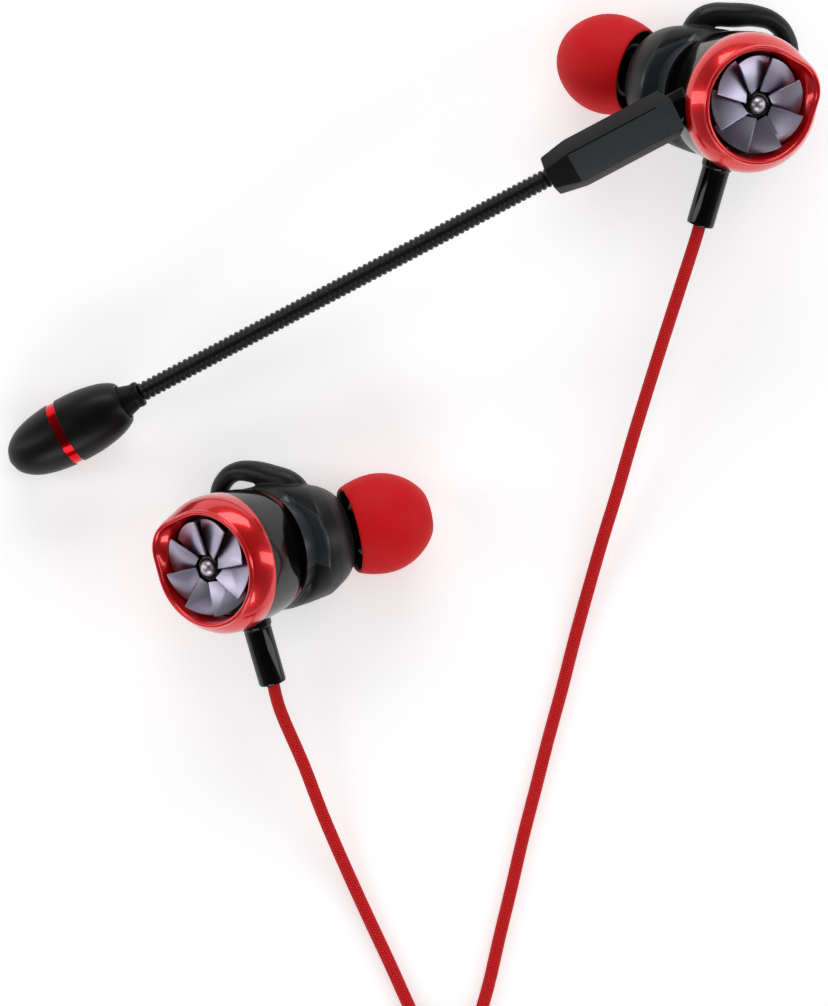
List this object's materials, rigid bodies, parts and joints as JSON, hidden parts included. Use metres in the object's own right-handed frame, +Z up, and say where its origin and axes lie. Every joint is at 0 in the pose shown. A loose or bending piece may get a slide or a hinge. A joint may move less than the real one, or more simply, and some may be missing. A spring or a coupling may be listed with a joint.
{
  "type": "wired in-ear headset",
  "caption": "Wired in-ear headset with red bezelled earphones, soft ear fins and tips, a plug-in flexible boom microphone, braided cord and a jack plug.",
  "frame": {"origin": "on the table, under the middle of everything that is not cord, as the set lies", "axes": "+X across the set from the capsule to the right earphone, +Y from the cords towards the right earphone, +Z up from the table"},
  "size_m": [0.1015, 0.1935, 0.0248],
  "materials": {
    "red_metallic_paint": "gloss",
    "black_gloss": "gloss",
    "black_matte": "matte",
    "dark_red_gloss": "gloss",
    "vane_mirror": "polished",
    "pin_steel": "polished",
    "driver_steel": "satin",
    "membrane": "satin",
    "mesh_steel": "satin",
    "black_silicone": "matte",
    "red_silicone": "matte",
    "red_braid": "woven",
    "contact_gold": "polished",
    "spring_black": "satin",
    "mic_metal": "satin"
  },
  "bodies": {
    "set": {"left_bezel": "red_metallic_paint", "left_vanes": "vane_mirror", "left_backplate": "black_gloss", "left_pin": "pin_steel", "left_shell": "black_gloss", "left_accent_ring": "dark_red_gloss", "left_driver": "driver_steel", "left_diaphragm": "membrane", "left_cup": "black_matte", "left_tube_mesh": "mesh_steel", "left_relief": "black_gloss", "right_bezel": "red_metallic_paint", "right_vanes": "vane_mirror", "right_backplate": "black_gloss", "right_pin": "pin_steel", "right_shell": "black_gloss", "right_accent_ring": "dark_red_gloss", "right_driver": "driver_steel", "right_diaphragm": "membrane", "right_cup": "black_matte", "right_tube_mesh": "mesh_steel", "right_relief": "black_gloss", "mic_socket": "contact_gold", "cord_left": "red_braid", "cord_right": "red_braid", "cord_trunk_lead": "red_braid", "cord_trunk_coil": "red_braid", "cord_trunk_tail": "red_braid", "coil_tie": "black_silicone", "splitter_upper": "black_gloss", "splitter_lower": "black_gloss", "plug_grip": "black_gloss", "plug_relief": "black_matte", "plug_sleeve": "contact_gold", "plug_ring_1": "contact_gold", "plug_ring_2": "contact_gold", "plug_tip": "contact_gold", "plug_insulators": "black_gloss"},
    "left_fin_sleeve": {"left_ear_fin": "black_silicone"},
    "left_tip": {"left_ear_tip": "red_silicone"},
    "right_fin_sleeve": {"right_ear_fin": "black_silicone"},
    "right_tip": {"right_ear_tip": "red_silicone"},
    "boom_plug": {"boom_pin": "contact_gold"},
    "boom_grip": {"grip_upper": "black_matte", "grip_lower": "black_matte", "neck_1": "spring_black"},
    "boom_second": {"neck_2": "spring_black"},
    "boom_third": {"neck_3": "spring_black"},
    "boom_capsule": {"neck_4": "spring_black", "capsule_collar": "black_matte", "capsule_rear": "black_matte", "capsule_ring": "red_metallic_paint", "capsule_nose": "black_matte", "mic_element": "mic_metal"}
  },
  "joints": [
    {"name": "left_sleeve_pull", "type": "slide", "parent": "set", "child": "left_fin_sleeve", "axis": [0.9502, 0.2276, -0.2128], "range_m": [0, 0.014]},
    {"name": "left_tip_pull", "type": "slide", "parent": "left_fin_sleeve", "child": "left_tip", "axis": [0.9502, 0.2276, -0.2128], "range_m": [0, 0.008]},
    {"name": "right_sleeve_pull", "type": "slide", "parent": "set", "child": "right_fin_sleeve", "axis": [-0.8587, 0.2419, -0.4518], "range_m": [0, 0.014]},
    {"name": "right_tip_pull", "type": "slide", "parent": "right_fin_sleeve", "child": "right_tip", "axis": [-0.8587, 0.2419, -0.4518], "range_m": [0, 0.008]},
    {"name": "boom_unplug", "type": "slide", "parent": "set", "child": "boom_plug", "axis": [-0.8368, -0.4637, 0.2911], "range_m": [0, 0.008]},
    {"name": "boom_turn", "type": "hinge", "parent": "boom_plug", "child": "boom_grip", "pos_m": [0.03235, 0.02869, 0.01996], "axis": [-0.8368, -0.4637, 0.2911], "range_deg": [-12, 12]},
    {"name": "neck_bend_1", "type": "hinge", "parent": "boom_grip", "child": "boom_second", "pos_m": [0.00428, 0.01442, 0.01419], "axis": [-0.4664, 0.8846, 0], "range_deg": [-6, 25]},
    {"name": "neck_bend_2", "type": "hinge", "parent": "boom_second", "child": "boom_third", "pos_m": [-0.00861, 0.00763, 0.01155], "axis": [-0.4664, 0.8846, 0], "range_deg": [-6, 25]},
    {"name": "neck_bend_3", "type": "hinge", "parent": "boom_third", "child": "boom_capsule", "pos_m": [-0.02149, 0.00084, 0.0089], "axis": [-0.4664, 0.8846, 0], "range_deg": [-6, 25]}
  ],
  "couplings": [
    {"joint": "neck_bend_2", "follows": "neck_bend_1", "ratio": 1},
    {"joint": "neck_bend_3", "follows": "neck_bend_1", "ratio": 1}
  ]
}
